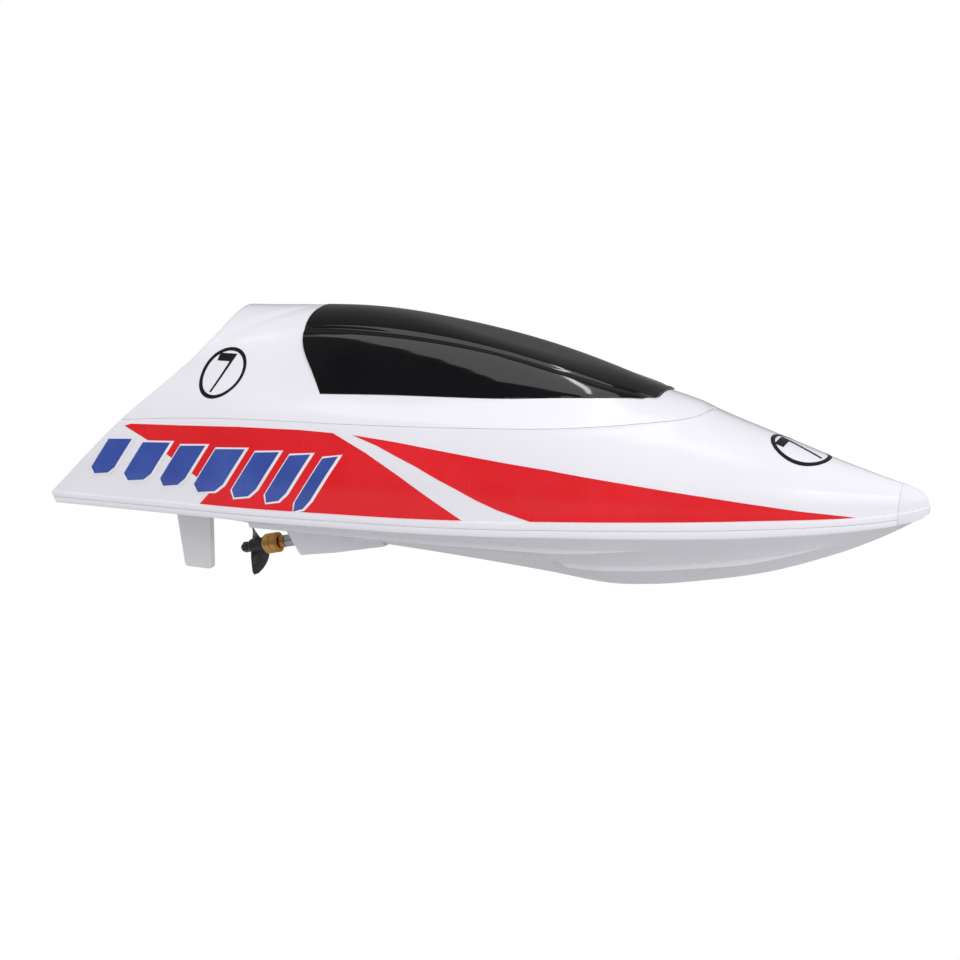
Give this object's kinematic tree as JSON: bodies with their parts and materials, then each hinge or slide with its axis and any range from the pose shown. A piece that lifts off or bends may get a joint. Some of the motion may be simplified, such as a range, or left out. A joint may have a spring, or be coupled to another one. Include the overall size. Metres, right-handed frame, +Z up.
{
  "type": "rc boat",
  "caption": "White radio-controlled speedboat with a lift-off hatch cover, dark canopy window, steerable rudder and a driven propeller.",
  "frame": {"origin": "on the centreline, halfway along the boat, level with the lowest edge of the rudder", "axes": "+X towards the bow, +Y to port, +Z up"},
  "size_m": [0.4165, 0.116, 0.1378],
  "materials": {
    "white_gloss": "glossy painted moulding",
    "hull_white": "glossy white moulding",
    "bumper_soft": "soft satin white",
    "canopy_black": "high-gloss black",
    "rubber_black": "matt soft rubber",
    "plastic_black": "moulded black",
    "plastic_grey": "moulded light grey",
    "brass": "turned brass",
    "steel": "turned steel",
    "motor_steel": "plated motor can",
    "servo_blue": "translucent blue moulding",
    "battery_blue": "shrink-wrapped film",
    "strap_black": "hook-and-loop webbing",
    "wire_red": "silicone wire",
    "wire_black": "silicone wire",
    "stripe_red": "printed red film",
    "stripe_blue": "printed blue film",
    "stripe_white": "printed white film",
    "mark_black": "printed black film"
  },
  "bodies": {
    "hull": {"hull_bottom": "hull_white", "deck_shell": "white_gloss", "bow_bumper": "bumper_soft", "hatch_gasket": "rubber_black", "stern_tube": "steel", "shaft_bush_rear": "brass", "shaft_bush_front": "brass", "motor_can": "motor_steel", "motor_end_bell": "plastic_black", "motor_mount": "plastic_black", "motor_screw_port": "steel", "motor_screw_starboard": "steel", "rudder_bush": "plastic_black", "servo_case": "servo_blue", "servo_mount": "plastic_black", "servo_screw_front": "steel", "servo_screw_rear": "steel", "receiver_esc_box": "plastic_black", "antenna_tube": "bumper_soft", "antenna_foot": "plastic_black", "battery_pack": "battery_blue", "battery_tray": "plastic_black", "battery_strap": "strap_black", "motor_lead_positive": "wire_red", "motor_lead_negative": "wire_black", "battery_lead": "wire_red", "servo_lead": "wire_black"},
    "cover": {"hatch_cover": "white_gloss", "tail_block": "white_gloss", "canopy_window": "canopy_black"},
    "latch": {"hatch_latch": "white_gloss"},
    "drive": {"propeller": "plastic_black", "propeller_nut": "plastic_black", "propeller_shaft": "steel", "drive_dog": "brass", "shaft_coupler": "brass", "coupler_screw": "steel", "motor_shaft": "steel"},
    "rudder": {"rudder_blade": "plastic_grey", "rudder_stock": "steel", "tiller_arm": "plastic_black"},
    "link": {"steering_pushrod": "steel"},
    "horn": {"servo_horn": "plastic_grey"},
    "switch": {"power_switch": "plastic_grey"}
  },
  "joints": [
    {"name": "cover_lift", "type": "slide", "parent": "hull", "child": "cover", "axis": [0, 0, 1], "range_m": [0, 0.13]},
    {"name": "latch_slide", "type": "slide", "parent": "cover", "child": "latch", "axis": [0.7545, 0, 0.6563], "range_m": [0, 0.005], "stiffness_N_per_m": 120, "springref_m": -0.002},
    {"name": "propeller_spin", "type": "hinge", "parent": "hull", "child": "drive", "pos_m": [-0.11325, 0, 0.0177], "axis": [0.9703, 0, 0.2419], "continuous": true},
    {"name": "rudder_turn", "type": "hinge", "parent": "hull", "child": "rudder", "pos_m": [-0.15725, 0, 0], "axis": [0, 0, 1], "range_deg": [-35, 35]},
    {"name": "link_turn", "type": "hinge", "parent": "rudder", "child": "link", "pos_m": [-0.15725, 0.012, 0.06215], "axis": [0, 0, 1], "range_deg": [-35, 35]},
    {"name": "horn_turn", "type": "hinge", "parent": "hull", "child": "horn", "pos_m": [-0.088, 0, 0.06], "axis": [0, 0, 1], "range_deg": [-35, 35]},
    {"name": "switch_slide", "type": "slide", "parent": "hull", "child": "switch", "axis": [1, 0, 0], "range_m": [0, 0.004]}
  ],
  "couplings": [
    {"joint": "link_turn", "follows": "rudder_turn", "ratio": -1},
    {"joint": "horn_turn", "follows": "rudder_turn", "ratio": 1}
  ]
}
